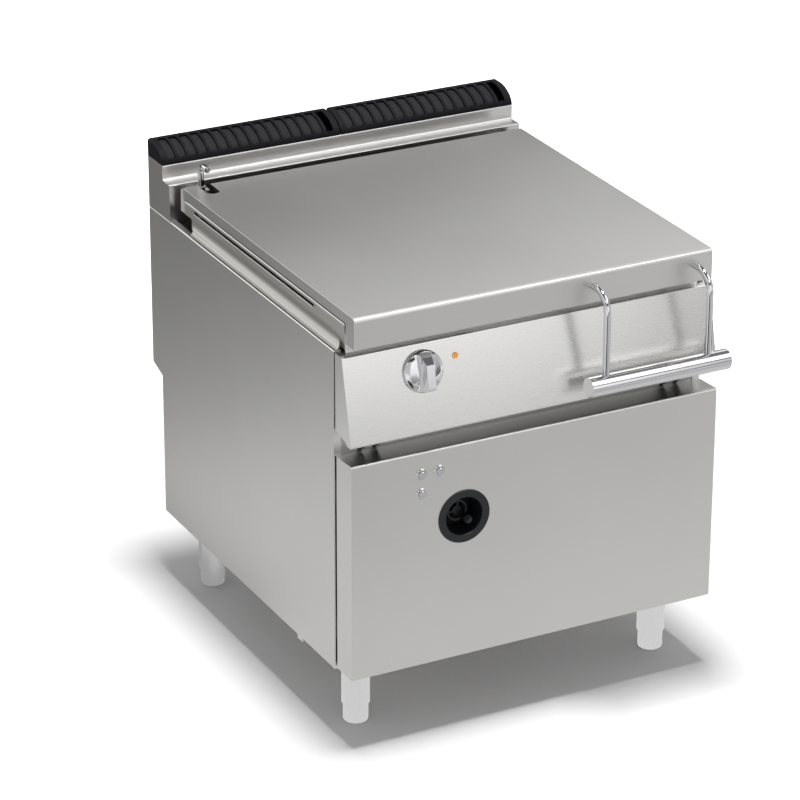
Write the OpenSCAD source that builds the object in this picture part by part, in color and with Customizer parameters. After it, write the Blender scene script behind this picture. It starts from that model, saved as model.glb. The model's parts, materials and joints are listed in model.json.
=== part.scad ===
// Tilting bratt pan: a cabinet on four feet, a heated pan that tilts forward on two
// front hinges by a worm gear and a crank, and a lid hinged at the rear of the pan.
// X runs across the front, Y to the rear and Z up. The floor is at z = 0, and the
// origin lies under the middle of the whole outline.

/* [Cabinet] */
// Width of the cabinet
unit_w = 800; // [760:5:900]
// Depth of the side panels, front edge to rear
side_d = 834; // [825:1:880]
// Height of the side panels' top edge
side_top = 810; // [790:1:840]
// Clear height under the cabinet
leg_h = 145; // [130:1:170]
// Thickness of the cabinet's sheet
sheet = 1.5; // [1:0.1:2]
// Radius of the sheet's bends
bend_r = 3; // [2:0.5:4]
// Width of the folded edges of the side panels
fold_w = 14; // [8:1:14]
// Depth of the recess for the connections at the lower rear
recess_d = 46; // [38:1:60]
// Height of the recess
recess_top = 452; // [380:1:500]
// Rise of the slope above the recess
recess_rise = 15; // [8:1:30]
// Length of the tab under each side panel
tab_l = 22; // [12:1:40]

/* [Front panel] */
// How far the lower front panel stands out from the side panels
door_out = 69; // [64:1:74]
// Depth of the panel's folded sides
door_fold = 62; // [50:1:63]
// Radius of the panel's top edge
door_edge_r = 5; // [3:0.5:7]
// Gap between the lower front panel and the control box
door_gap = 35.5; // [33:0.5:45]
// Side clearance of the front panel and the control box
front_inset = 2; // [1:0.5:4]

/* [Control box] */
// Height of the control box
box_h = 171; // [161:1:180]
// How far the top of its face stands out
box_out_top = 29.5; // [27:0.5:34]
// How far the bottom of its face stands out
box_out_low = 68; // [66:1:71]
// Thickness of its sheet
box_t = 2; // [1.5:0.1:2.5]
// Knob's place across the unit
knob_x = -235; // [-270:1:-220]
// Knob's drop below the box's top
knob_drop = 54; // [50:1:66]
// Diameter of the knob's skirt
knob_d = 82; // [60:1:90]
// Diameter of the lamp
lamp_d = 13; // [9:1:16]
// Lamp's place to the right of the knob
lamp_dx = 70.5; // [60:0.5:90]
// Lamp's place above the knob's centre
lamp_dz = 16.5; // [0:0.5:24]

/* [Pan] */
// Inside width of the pan
pan_w = 670; // [600:5:690]
// Inside depth of the pan, front to rear
pan_d = 610; // [560:5:620]
// Depth of the pan below its deck
pan_deep = 185; // [150:1:190]
// Thickness of the pan's walls
pan_wall = 3; // [2:0.5:4]
// Thickness of the pan's bottom plate
pan_base = 10; // [8:1:12]
// Radius of the pan's upright corners
pan_corner = 45; // [30:1:60]
// Height of the deck above the side panels
deck_rise = 55; // [50:1:60]
// Width of the deck
deck_w = 766; // [764:1:766]
// Height of the heating tray
tray_h = 30; // [24:1:34]
// Width of the pouring trough
pour_w = 200; // [120:5:260]

/* [Lid] */
// Height of the lid's top above the deck
lid_rise = 26; // [24:1:32]
// How far the lid's front stands out
lid_out = 56; // [53:1:59]
// Drop of the lid's front flange
lid_front_h = 62; // [50:1:66]
// Drop of the lid's side flanges
lid_side_h = 21; // [16:1:22]
// Radius of the lid's front edge
lid_edge_r = 8; // [4:1:12]

/* [Handle] */
// Distance of the bar's centre from the side panels' front edge
bar_out = 109; // [101:1:119]
// Diameter of the handle's bar
bar_d = 40; // [30:1:42]
// Length of the handle's bar
bar_l = 307; // [280:1:340]
// Diameter of the handle's arms
arm_d = 14.5; // [10:0.5:18]
// Height of the arms above the bar's centre
arm_rise = 183; // [150:1:190]
// Radius of the arms' bend
arm_bend = 40; // [30:1:44]

/* [Tilt drive] */
// Place of the crank wheel across the unit
drive_x = -159; // [-180:1:-120]
// Drop of the crank wheel below the front panel's top
drive_drop = 152.5; // [140:0.5:170]
// Radius of the tilting crank
crank_r = 170; // [160:1:175]
// Module of the worm gear
gear_m = 2; // [1.8:0.1:2.2]
// Teeth of the worm wheel
gear_teeth = 40; // [36:4:44]
// Pitch diameter of the worm
worm_d = 25; // [24:0.5:28]
// Diameter of the worm shaft
worm_shaft_d = 16; // [12:1:17]
// Diameter of the crank shaft
crank_shaft_d = 20; // [16:1:24]
// Diameter of the link's pins
link_pin_d = 12; // [10:1:14]
// Diameter of the tilting hinge pins
hinge_pin_d = 10; // [8:1:12]

/* [Crank recess] */
// Diameter of the recess cup's rim
cup_rim_d = 110; // [96:1:120]
// Diameter of its mouth
cup_mouth_d = 78; // [72:1:84]
// Depth of the cup
cup_deep = 50; // [44:1:52]
// Diameter of the crank wheel
wheel_d = 48; // [40:1:56]

/* [Buttons] */
// Diameter of the buttons' bezels
bezel_d = 23; // [20:1:26]
// Diameter of the buttons
button_d = 14; // [10:0.5:15]
// Travel of a button
button_travel = 3; // [2:0.5:3]

/* [Feet] */
// Diameter of the feet
foot_d = 50; // [40:1:54]
// Wall of the leg sleeves
sleeve_wall = 3; // [2:0.5:5]
// Visible length of the feet at rest
foot_show = 39.5; // [30:0.5:50]
// Travel of the feet
foot_travel = 50; // [30:1:50]

/* [Flue and water] */
// Height of the rear column above the side panels
column_rise = 109; // [105:1:125]
// Depth of the column's top
column_d = 70; // [60:1:80]
// Depth of the shelf in front of the column
shelf_d = 32; // [28:1:34]
// Height of the grille above the column
grille_h = 36; // [30:1:45]
// Distance between the grille's slots
slot_pitch = 23.5; // [20:0.5:30]
// Width of a slot
slot_w = 17.5; // [12:0.5:18]
// Diameter of the water spout
spout_d = 13; // [11:0.5:14]
// Diameter of the threaded water inlet
inlet_d = 21; // [18:0.5:22]

/* [Hidden] */
$fn = 64;

// Clearances: between fixed neighbours, in a running fit, round a fixed pin, and between
// moving pieces
seam = 0.2;
run_fit = 0.05;
pin_fit = 0.02;
free_gap = 0.5;
// Overshoot of a cut past the solid
cut = 1;

half_w = unit_w / 2;
inner_w = half_w - sheet;
front_w = half_w - front_inset;

// Depths: the side panels' front edge, the rear and the face of the lower rear
y_rear = (side_d + bar_out + bar_d / 2) / 2;
y_front = y_rear - side_d;
y_low = y_rear - recess_d;
y_door = y_front - door_out;
y_column = y_rear - column_d;
y_shelf = y_column - shelf_d;

// Heights
box_top = side_top - 3;
box_low = box_top - box_h;
door_top = box_low - door_gap;
deck_top = side_top + deck_rise;
lid_top = deck_top + lid_rise;
shelf_top = side_top + 78;
column_top = side_top + column_rise;

// Control box: its top's fall, its face's slope, and the steps of its underside as [y, z]
box_fall = 1.5;
face_tilt = atan((box_out_low - box_out_top) / (box_h - box_fall));
box_lip = 18;
box_step = [6.5, 6];
box_rise = 14.5;
box_rear = y_front - 11 - seam;
box_end = y_front - 2 - seam;
function face_y(z) = y_front - box_out_low + (z - box_low) * tan(face_tilt);

// Knob's spindle and the lamp's place
spindle_r = 3;
lamp_x = knob_x + lamp_dx;
lamp_z = box_top - knob_drop + lamp_dz;

// Tilting hinge at the front, as [y, z]
pivot = [y_front - 44, box_low + 4];
hinge_x = 330;
knuckle_w = 24;
knuckle_r = 10;
ear_t = 6;
ear_r = 12;
slot_r = ear_r + 2;
ear_places = [hinge_x - knuckle_w / 2 - free_gap - ear_t, hinge_x + knuckle_w / 2 + free_gap];

// Pan and its deck
deck_t = 2;
deck_half = deck_w / 2;
deck_y0 = y_front - 11;
deck_y1 = y_shelf - 36;
pan_y1 = deck_y1 - 33;
pan_y0 = pan_y1 - pan_d;
pan_low = deck_top - pan_deep - pan_base;
tray_low = pan_low - tray_h;
tray_inset = 13;
pour_drop = 15;
pour_fall = 8;
pour_out = 36;

// Jackets beside the deck: the cove under the deck and the long slot
jacket_low = side_top + 4;
cove_top = side_top + 31;
cove_steps = 10;
jacket_slot_h = 7;
jacket_slot_z = deck_top - 14;

// Lid and its hinge, as [y, z]
lid_t = 1.5;
lid_half = deck_half + lid_t + free_gap;
lid_y0 = y_front - lid_out;
lid_y1 = deck_y1 + 2;
lid_axis = [deck_y1 + 10, lid_top - 12];
lid_pin_r = 5;
lid_ear_t = 6;
lid_ear_x = deck_half - 12;
notch_r = 14;
notch_deep = 62;

// Handle
bar_y = y_front - bar_out;
arm_z = lid_top - 28;
bar_z = arm_z - arm_rise;
bar_right = 392;
arm_set = [bar_right - bar_l + 37, bar_right - 44];
arm_sink = 10;

// Tilt drive: crank wheel, worm wheel and crank, as [y, z] where two numbers are given
drive_z = door_top - drive_drop;
wheel_r = gear_m * gear_teeth / 2;
worm_pitch = PI * gear_m;
crank_axis = [y_front + 91, drive_z + worm_d / 2 + wheel_r];
lug_drop = 24;
lug_dz = tray_low - lug_drop - pivot[1];
crank_vec = [sqrt(crank_r * crank_r - lug_dz * lug_dz), lug_dz];
lug = pivot + crank_vec;
crank_end = crank_axis + crank_vec;
gear_w = 12;
gear_gap = 3;
box_wall = 6;
gear_room = wheel_r + gear_m + gear_gap;
gearbox_r = gear_room + box_wall;
gearbox_half = 24;
gearbox_low = drive_z - worm_d / 2 - gear_m - gear_gap - box_wall;
crank_t = 10;
crank_x = drive_x + gearbox_half + box_wall + 7;
link_x = crank_x + crank_t + 2;
bush_flange = 3;

// Crank recess and its wheel
cup_wall = 3;
cup_rim_t = 2.5;
wheel_y = y_door + 30;
wheel_tube = 4;
wheel_ring = wheel_d / 2 - wheel_tube;
grip_r = 9;
grip_l = 20;
grip_pin_r = 3;
grip_at = [drive_x + wheel_ring * cos(45), drive_z - wheel_ring * sin(45)];

// Buttons as [x, height above the crank wheel's centre]
button_places = [[-250.5, 107], [-212.5, 107], [-250.5, 66.5]];
button_wall = 2;
bezel_t = 2.5;

// Feet as distances from the middle and from the side panels' front edge
foot_x = half_w - 66;
foot_y_front = y_front + 43;
foot_y_rear = y_rear - 130;
sleeve_r = foot_d / 2 + sleeve_wall;
foot_top = foot_show + foot_travel + 12;

// Water pipe, as [x, y]
spout_x = 44 - deck_half;
spout_y = deck_y1 + 17;
spout_bend = 20;
spout_mouth = 12;
spout_top = lid_axis[1] + 49;
spout_base = lid_axis[1] - 4;
pipe_low_z = 600;
pipe_bend = 20;
valve_x = 250;
valve_z = 300;
valve_nut = 4;
gland_x = -250;
gland_z = 270;
gland_r = 10;
gland_bore_r = 6.5;

// Rails
rail_h = 40;
rail_t = 2;
front_rail_y = y_front + sheet + seam;
front_rail_y1 = front_rail_y + 30;
front_rail_top = door_top - 5;
splash_top = box_low - 8;
rear_rail_y = pan_y1 - 112;
rear_rail_top = tray_low - 10;
pad_x = 250;

// Points and outlines
function unit_vec(v) = v / norm(v);
function left_of(v) = [-v[1], v[0]];
function side_vec(p, i) = left_of(unit_vec(p[i + 1] - p[i]));
function mitre(u, v) = (u + v) / (1 + u * v);
function corner_vec(p, i) =
    i == 0 ? side_vec(p, 0)
    : i == len(p) - 1 ? side_vec(p, i - 1)
    : mitre(side_vec(p, i - 1), side_vec(p, i));
// Outline of a sheet of thickness t folded along the points p
function folded(p, t) = concat(p, [for (i = [len(p) - 1:-1:0]) p[i] + t * corner_vec(p, i)]);
// The points p with the corners between the ends rounded in four steps, to the radii in r
function corner_arc(a, b, c, r) =
    let (u = unit_vec(b - a), v = unit_vec(c - b), d = r * tan(acos(u * v) / 2))
    [for (t = [0:0.25:1]) b - d * (1 - t) * (1 - t) * u + d * t * t * v];
function bent(p, r) = concat(
    [p[0]],
    [for (i = [1:len(p) - 2]) each corner_arc(p[i - 1], p[i], p[i + 1], is_list(r) ? r[i - 1] : r)],
    [p[len(p) - 1]]
);
function arc(c, r, a0, a1, n) =
    [for (i = [0:n]) c + r * [cos(a0 + (a1 - a0) * i / n), sin(a0 + (a1 - a0) * i / n)]];
function ellipse(c, rx, ry, a0, a1, n) =
    [for (i = [0:n]) c + [rx * cos(a0 + (a1 - a0) * i / n), ry * sin(a0 + (a1 - a0) * i / n)]];

// A (y, z) outline drawn out along X
module along_x(x0, x1) {
    translate([x0, 0, 0]) rotate([90, 0, 90]) linear_extrude(x1 - x0) children();
}

// An (x, z) outline drawn out along Y
module along_y(y0, y1) {
    translate([0, y1, 0]) rotate([90, 0, 0]) linear_extrude(y1 - y0) children();
}

module block(p0, p1) {
    translate(p0) cube(p1 - p0);
}

module rod_x(p, r, x0, x1) {
    translate([x0, p[0], p[1]]) rotate([0, 90, 0]) cylinder(r = r, h = x1 - x0);
}

module rod_y(x, z, r, y0, y1) {
    translate([x, y0, z]) rotate([-90, 0, 0]) cylinder(r = r, h = y1 - y0);
}

module rod_z(x, y, r, z0, z1) {
    translate([x, y, z0]) cylinder(r = r, h = z1 - z0);
}

// Part of a ring in the YZ plane round [y, z], from angle a0 over the angle a
module bend_yz(x, c, bend_r, r, a0, a) {
    translate([x, c[0], c[1]]) rotate([90, 0, 90]) rotate(a0)
        rotate_extrude(angle = a) translate([bend_r, 0]) circle(r = r);
}

// Part of a ring in the XZ plane round [x, z]
module bend_xz(y, c, bend_r, r, a0, a) {
    translate([c[0], y, c[1]]) rotate([90, 0, 0]) rotate(a0)
        rotate_extrude(angle = a) translate([bend_r, 0]) circle(r = r);
}

module rounded_rect(x0, x1, y0, y1, r) {
    translate([x0 + r, y0]) square([x1 - x0 - 2 * r, y1 - y0]);
    translate([x0, y0 + r]) square([x1 - x0, y1 - y0 - 2 * r]);
    for (x = [x0 + r, x1 - r], y = [y0 + r, y1 - r])
        translate([x, y]) circle(r = r);
}

// A flat bar between two eyes, as a (y, z) outline
module eye_bar(p, q, r_p, r_q) {
    n = left_of(unit_vec(q - p));
    translate(p) circle(r = r_p);
    translate(q) circle(r = r_q);
    polygon([p + r_p * n, p - r_p * n, q - r_q * n, q + r_q * n]);
}

// Puts a piece on the control box's face with its Z along the face's normal
module on_face(x, z) {
    translate([x, face_y(z), z]) rotate([90 - face_tilt, 0, 0]) children();
}

module mirrored_pair() {
    children();
    mirror([1, 0, 0]) children();
}

module side_panel() {
    tab_y = y_front + 141;
    color([0.75, 0.74, 0.73]) {
        along_x(inner_w, half_w) polygon([
            [y_front, leg_h], [y_low, leg_h], [y_low, recess_top],
            [y_rear, recess_top + recess_rise], [y_rear, side_top - bend_r], [y_front, side_top - bend_r]
        ]);
        along_y(y_front, y_rear - sheet - seam) polygon(folded(bent([
            [half_w, side_top - 2 * bend_r], [half_w, side_top], [inner_w - fold_w, side_top]
        ], bend_r), sheet));
        block([inner_w - fold_w, y_front, leg_h], [inner_w, y_front + sheet, side_top - sheet]);
        block([inner_w, tab_y, leg_h - 8], [half_w, tab_y + tab_l, leg_h]);
    }
}

module side_panel_left() {
    mirror([1, 0, 0]) side_panel();
}

module side_panel_right() {
    side_panel();
}

module rear_panel() {
    louvre = [70, 7];
    louvre_top = side_top - 90;
    louvre_pitch = 26;
    color([0.70, 0.70, 0.69]) difference() {
        along_x(-inner_w + seam, inner_w - seam) polygon(folded([
            [y_low, leg_h], [y_low, recess_top],
            [y_rear, recess_top + recess_rise], [y_rear, side_top - sheet - seam]
        ], sheet));
        for (x = [-230, -115, 0, 115, 230], i = [0:5])
            translate([x - louvre[0] / 2, 0, louvre_top - i * louvre_pitch])
                block([0, y_rear - sheet - cut, 0], [louvre[0], y_rear + cut, louvre[1]]);
        rod_y(valve_x, valve_z, inlet_d / 2 + seam, y_low - sheet - cut, y_low + cut);
        rod_y(gland_x, gland_z, gland_r + seam, y_low - sheet - cut, y_low + cut);
    }
}

module base_tray() {
    edge = 25;
    vent = [80, 10];
    vent_pitch = 40;
    y0 = y_front + sheet + seam;
    y1 = y_low - sheet - seam;
    color([0.66, 0.66, 0.66]) difference() {
        along_x(-inner_w + seam, inner_w - seam) polygon(folded([
            [y0, leg_h + edge], [y0, leg_h], [y1, leg_h], [y1, leg_h + edge]
        ], sheet));
        for (x = [-180, -60, 60, 180], i = [0:4])
            translate([x - vent[0] / 2, y0 + 250 + i * vent_pitch, leg_h - cut])
                cube([vent[0], vent[1], sheet + 2 * cut]);
    }
}

// The rail under the tilting hinges, with an upstand that closes the gap under the box
module front_rail() {
    w = inner_w - seam;
    z0 = front_rail_top - rail_h;
    color([0.6, 0.6, 0.6]) difference() {
        union() {
            along_x(-w, w) polygon(folded([
                [front_rail_y1, front_rail_top], [front_rail_y, front_rail_top], [front_rail_y, z0],
                [front_rail_y1, z0]
            ], rail_t));
            block([-w, front_rail_y, front_rail_top - rail_t], [w, front_rail_y + rail_t, splash_top]);
        }
        mirrored_pair() for (x = ear_places)
            block([x - seam, front_rail_y - cut, front_rail_top],
                  [x + ear_t + seam, front_rail_y + rail_t + cut, splash_top + cut]);
    }
}

module rear_rail() {
    z0 = rear_rail_top - rail_h;
    color([0.6, 0.6, 0.6]) along_x(-inner_w + seam, inner_w - seam) polygon(folded([
        [rear_rail_y + rail_h, z0], [rear_rail_y + rail_h, rear_rail_top],
        [rear_rail_y, rear_rail_top], [rear_rail_y, z0]
    ], rail_t));
}

module rest_pads() {
    color([0.12, 0.12, 0.12]) mirrored_pair()
        rod_z(pad_x, rear_rail_y + rail_h / 2, 15, rear_rail_top, tray_low - 0.3);
}

module cross_beam() {
    w = 60;
    y0 = crank_axis[0] - w / 2;
    z0 = gearbox_low - rail_h;
    color([0.6, 0.6, 0.6]) along_x(-inner_w + seam, inner_w - seam) polygon(folded([
        [y0 + w, z0], [y0 + w, gearbox_low], [y0, gearbox_low], [y0, z0]
    ], 2.5));
}

module front_panel() {
    y1 = y_door + door_fold;
    top_fall = 4;
    outline = bent([
        [y1, door_top - top_fall], [y_door, door_top], [y_door, leg_h + 5], [y1, leg_h + 5]
    ], [door_edge_r, bend_r]);
    color([0.78, 0.77, 0.76]) difference() {
        union() {
            along_x(-front_w, front_w) polygon(folded(outline, sheet));
            mirrored_pair() along_x(front_w - sheet, front_w) polygon(outline);
        }
        rod_y(drive_x, drive_z, cup_mouth_d / 2 + cup_wall + seam, y_door - cut, y_door + sheet + cut);
        for (b = button_places)
            rod_y(b[0], drive_z + b[1], button_d / 2 + button_wall + seam,
                  y_door - cut, y_door + sheet + cut);
    }
    // Hangers that rest against the folded front edges of the side panels
    color([0.6, 0.6, 0.6]) mirrored_pair() for (z = [leg_h + 60, door_top - 110]) {
        block([inner_w - fold_w + 1, y1 - 25, z], [front_w - sheet, y1 - 2, z + 50]);
        block([inner_w - fold_w + 1, y1 - 2, z], [inner_w - fold_w + 5, y_front - seam, z + 50]);
    }
}

module crank_recess() {
    r0 = cup_mouth_d / 2;
    r1 = cup_rim_d / 2;
    color([0.13, 0.13, 0.14]) translate([drive_x, y_door, drive_z]) rotate([-90, 0, 0]) difference() {
        rotate_extrude() polygon([
            [0, cup_deep], [r0 + cup_wall, cup_deep], [r0 + cup_wall, 0], [r1, 0],
            [r1, -1], [r1 - 1.5, -cup_rim_t], [r0 + 1, -cup_rim_t + 0.5], [r0, -0.5],
            [r0 - 3, cup_deep - cup_wall], [0, cup_deep - cup_wall]
        ]);
        translate([0, 0, cup_deep - cup_wall - cut])
            cylinder(r = worm_shaft_d / 2 + free_gap, h = cup_wall + 2 * cut);
    }
}

module button_bezels() {
    r = bezel_d / 2;
    color([0.8, 0.8, 0.82]) for (b = button_places)
        translate([b[0], y_door, drive_z + b[1]]) rotate([-90, 0, 0]) difference() {
            union() {
                rotate_extrude() polygon([
                    [0, 0], [r, 0], [r, -1], [r - 1.5, -bezel_t], [0, -bezel_t]
                ]);
                cylinder(r = button_d / 2 + button_wall, h = 22);
                translate([0, 0, sheet + seam]) cylinder(r = r, h = 4, $fn = 6);
            }
            translate([0, 0, -cut - bezel_t])
                cylinder(r = button_d / 2 + free_gap, h = bezel_t + cut + 18);
        }
}

module button(i) {
    b = button_places[i];
    color([0.85, 0.85, 0.87]) translate([b[0], y_door, drive_z + b[1]]) rotate([-90, 0, 0])
        rotate_extrude() polygon([
            [0, -bezel_t - button_travel], [button_d / 2 - 1, -bezel_t - button_travel],
            [button_d / 2, 1 - bezel_t - button_travel], [button_d / 2, 14], [0, 14]
        ]);
}

module button_left() {
    button(0);
}

module button_right() {
    button(1);
}

module button_lower() {
    button(2);
}

// Outline of the gearbox round the worm wheel and the worm
module gearbox_outline(r) {
    translate(crank_axis) circle(r = r);
    translate([crank_axis[0] - r, gearbox_low + gearbox_r - r])
        square([2 * r, crank_axis[1] - gearbox_low - gearbox_r + r]);
}

module gearbox_housing() {
    x0 = drive_x - gearbox_half;
    x1 = drive_x + gearbox_half + box_wall;
    color([0.45, 0.47, 0.5]) difference() {
        along_x(x0, x1) gearbox_outline(gearbox_r);
        along_x(x0 - cut, x1 - box_wall) gearbox_outline(gear_room);
        rod_x(crank_axis, crank_shaft_d / 2 + 5, x1 - box_wall - cut, x1 + cut);
        rod_y(drive_x, drive_z, worm_shaft_d / 2 + 4,
              crank_axis[0] - gearbox_r - cut, crank_axis[0] + gearbox_r + cut);
    }
}

module gearbox_cover() {
    x1 = drive_x - gearbox_half;
    bolt = gearbox_r - box_wall / 2;
    color([0.5, 0.52, 0.55]) difference() {
        along_x(x1 - box_wall, x1) gearbox_outline(gearbox_r);
        rod_x(crank_axis, crank_shaft_d / 2 + 5, x1 - box_wall - cut, x1 + cut);
    }
    color([0.3, 0.3, 0.32]) for (a = [0, 60, 120, 180])
        rod_x(crank_axis + bolt * [cos(a), sin(a)], 3, x1 - box_wall - 3, x1 - box_wall);
}

module bush(r, outer, l) {
    difference() {
        union() {
            cylinder(r = outer, h = l);
            translate([0, 0, l]) cylinder(r = outer + 2, h = bush_flange);
        }
        translate([0, 0, -cut]) cylinder(r = r + run_fit, h = l + bush_flange + 2 * cut);
    }
}

module gearbox_bushes() {
    rc = crank_shaft_d / 2;
    rw = worm_shaft_d / 2;
    color([0.72, 0.56, 0.3]) {
        translate([drive_x + gearbox_half, crank_axis[0], crank_axis[1]]) rotate([0, 90, 0])
            bush(rc, rc + 5, box_wall);
        translate([drive_x - gearbox_half, crank_axis[0], crank_axis[1]]) rotate([0, -90, 0])
            bush(rc, rc + 5, box_wall);
        translate([drive_x, crank_axis[0] - gear_room, drive_z]) rotate([90, 0, 0])
            bush(rw, rw + 4, box_wall);
        translate([drive_x, crank_axis[0] + gear_room, drive_z]) rotate([-90, 0, 0])
            bush(rw, rw + 4, box_wall);
    }
}

module tilt_brackets() {
    y0 = front_rail_y;
    y1 = front_rail_y1;
    z0 = front_rail_top;
    base_t = 4;
    heel = 12;
    n = left_of(unit_vec([y1, z0] - pivot)) * (ear_r - 4);
    x0 = ear_places[0];
    x1 = ear_places[1] + ear_t;
    color([0.55, 0.55, 0.56]) mirrored_pair() {
        difference() {
            union() {
                for (x = ear_places) along_x(x, x + ear_t) {
                    polygon([pivot + n, [y1, z0 + heel], [y1, z0], [y0, z0], pivot - n]);
                    translate(pivot) circle(r = ear_r);
                }
                block([x0, y0 + rail_t + seam, z0], [x1, y1, z0 + base_t]);
            }
            rod_x(pivot, hinge_pin_d / 2 + pin_fit, x0 - cut, x1 + cut);
        }
        rod_x(pivot, hinge_pin_d / 2, x0 - 2, x1 + 2);
    }
}

module leg_sleeves() {
    color([0.72, 0.72, 0.73]) for (x = [-foot_x, foot_x], y = [foot_y_front, foot_y_rear])
        difference() {
            rod_z(x, y, sleeve_r, foot_show, leg_h);
            rod_z(x, y, foot_d / 2 + run_fit, foot_show - cut, leg_h - 3);
        }
}

module foot(x, y) {
    r = foot_d / 2;
    edge = 4;
    chamfer = 2;
    color([0.70, 0.70, 0.71]) translate([x, y, 0]) rotate_extrude() polygon(concat(
        [[0, 0]],
        arc([r - edge, edge], edge, -90, 0, 6),
        [[r, foot_top - chamfer], [r - chamfer, foot_top], [0, foot_top]]
    ));
}

module foot_front_left() {
    foot(-foot_x, foot_y_front);
}

module foot_front_right() {
    foot(foot_x, foot_y_front);
}

module foot_rear_left() {
    foot(-foot_x, foot_y_rear);
}

module foot_rear_right() {
    foot(foot_x, foot_y_rear);
}

module flue_housing() {
    tab_w = 30;
    baffle_low = side_top - 170;
    rim = 10;
    shelf_r = 6;
    radii = [bend_r, shelf_r, bend_r];
    color([0.74, 0.74, 0.73]) {
        difference() {
            union() {
                along_x(-inner_w, inner_w) polygon(folded(bent([
                    [y_shelf, shelf_top - 12], [y_shelf, shelf_top], [y_column, shelf_top],
                    [y_column, column_top], [y_column + rim, column_top]
                ], radii), -sheet));
                along_x(-inner_w, inner_w) polygon(folded([
                    [y_rear - rim, column_top], [y_rear, column_top], [y_rear, side_top]
                ], -sheet));
                mirrored_pair() along_x(inner_w, half_w) polygon(concat(bent([
                    [y_shelf, side_top], [y_shelf, shelf_top], [y_column, shelf_top],
                    [y_column, column_top], [y_rear, column_top]
                ], radii), [[y_rear, side_top]]));
                mirrored_pair() block([half_w - tab_w, y_shelf, side_top],
                                      [inner_w, y_shelf + sheet, shelf_top - 4]);
                along_x(-inner_w + fold_w + 1, inner_w - fold_w - 1) polygon([
                    [y_column, baffle_low], [y_column + sheet, baffle_low],
                    [y_column + sheet, shelf_top + shelf_r], [y_column, shelf_top + shelf_r]
                ]);
            }
            rod_y(half_w - tab_w / 2, shelf_top - 18, 4, y_shelf - cut, y_shelf + sheet + cut);
        }
    }
}

// One grille of the pair, with its inner end at x = 0
module flue_grille() {
    wall = 4;
    g = 1.2;
    end_r = 6;
    sill = 9;
    rear_rim = 10;
    c = [y_rear, column_top];
    n = floor((half_w - 12) / slot_pitch);
    x0 = (half_w - (n - 1) * slot_pitch) / 2;
    color([0.16, 0.165, 0.18]) difference() {
        intersection() {
            along_x(g, half_w) polygon(concat([c], ellipse(c, -column_d, grille_h, 0, 90, 12)));
            along_y(y_column - cut, y_rear + cut) polygon(bent([
                [g, column_top - cut], [g, column_top + grille_h], [half_w, column_top + grille_h],
                [half_w, column_top - cut]
            ], end_r));
        }
        along_x(g + wall, half_w - wall) polygon(concat(
            [c + [-wall, -cut]], [c + [-column_d + wall, -cut]],
            ellipse(c, -column_d + wall, grille_h - wall, 0, 86, 12)));
        for (i = [0:n - 1])
            translate([0, 0, column_top + sill]) linear_extrude(grille_h)
                rounded_rect(x0 + i * slot_pitch - slot_w / 2, x0 + i * slot_pitch + slot_w / 2,
                             y_column + 2, y_rear - rear_rim, 5);
    }
}

module flue_grille_right() {
    flue_grille();
}

module flue_grille_left() {
    mirror([1, 0, 0]) flue_grille();
}

module water_spout() {
    r = spout_d / 2;
    c = [spout_y - spout_bend, spout_top - spout_bend];
    nut_h = 8;
    collar = 7;
    y1 = c[0] - spout_mouth;
    color([0.85, 0.85, 0.87]) difference() {
        union() {
            rod_z(spout_x, spout_y, r, spout_base + nut_h / 2, c[1]);
            bend_yz(spout_x, c, spout_bend, r, 0, 90);
            rod_y(spout_x, spout_top, r, y1 + collar, c[0]);
            rod_y(spout_x, spout_top, r + 0.7, y1, y1 + collar);
            translate([spout_x, spout_y, spout_base]) cylinder(r = r + 4, h = nut_h, $fn = 6);
        }
        rod_y(spout_x, spout_top, r - 0.6, y1 - cut, c[0]);
    }
}

module spout_bracket() {
    w = 16;
    t = 3;
    z1 = spout_base;
    z0 = z1 - t;
    y1 = y_column - seam;
    color([0.7, 0.7, 0.7]) difference() {
        union() {
            block([spout_x - w, spout_y - w / 2, z0], [spout_x + w, y1, z1]);
            block([spout_x - w, y1 - t, z1], [spout_x + w, y1, shelf_top - sheet - seam]);
        }
        rod_z(spout_x, spout_y, spout_d / 2 - 1.5, z0 - cut, z1 + cut);
    }
}

module water_pipe() {
    r = spout_d / 2;
    z1 = spout_base - 3;
    z_mid = pipe_low_z;
    color([0.72, 0.5, 0.36]) {
        rod_z(spout_x, spout_y, r, z_mid + pipe_bend, z1);
        bend_xz(spout_y, [spout_x + pipe_bend, z_mid + pipe_bend], pipe_bend, r, 180, 90);
        translate([spout_x + pipe_bend, spout_y, z_mid]) rotate([0, 90, 0])
            cylinder(r = r, h = valve_x - spout_x - 2 * pipe_bend);
        bend_xz(spout_y, [valve_x - pipe_bend, z_mid - pipe_bend], pipe_bend, r, 0, 90);
        rod_z(valve_x, spout_y, r, valve_z + 18 + valve_nut, z_mid - pipe_bend);
    }
}

module water_valve() {
    h = 18;
    color([0.72, 0.58, 0.32]) {
        block([valve_x - h, spout_y - h, valve_z - h], [valve_x + h, y_low - sheet - seam, valve_z + h]);
        rod_z(valve_x, spout_y, 12, valve_z + h, valve_z + h + valve_nut);
    }
    // Coil
    color([0.15, 0.15, 0.16]) rod_z(valve_x, y_low - 32, h - 3, valve_z + h, valve_z + h + 40);
}

module water_inlet() {
    r = inlet_d / 2;
    y1 = y_low + 26;
    color([0.75, 0.72, 0.6]) difference() {
        union() {
            rod_y(valve_x, valve_z, r, y_low - sheet - seam, y1);
            translate([valve_x, y_low + seam, valve_z]) rotate([-90, 0, 0])
                cylinder(r = r + 5, h = 5, $fn = 6);
        }
        rod_y(valve_x, valve_z, 7.5, y_low - sheet, y1 + cut);
    }
}

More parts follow.
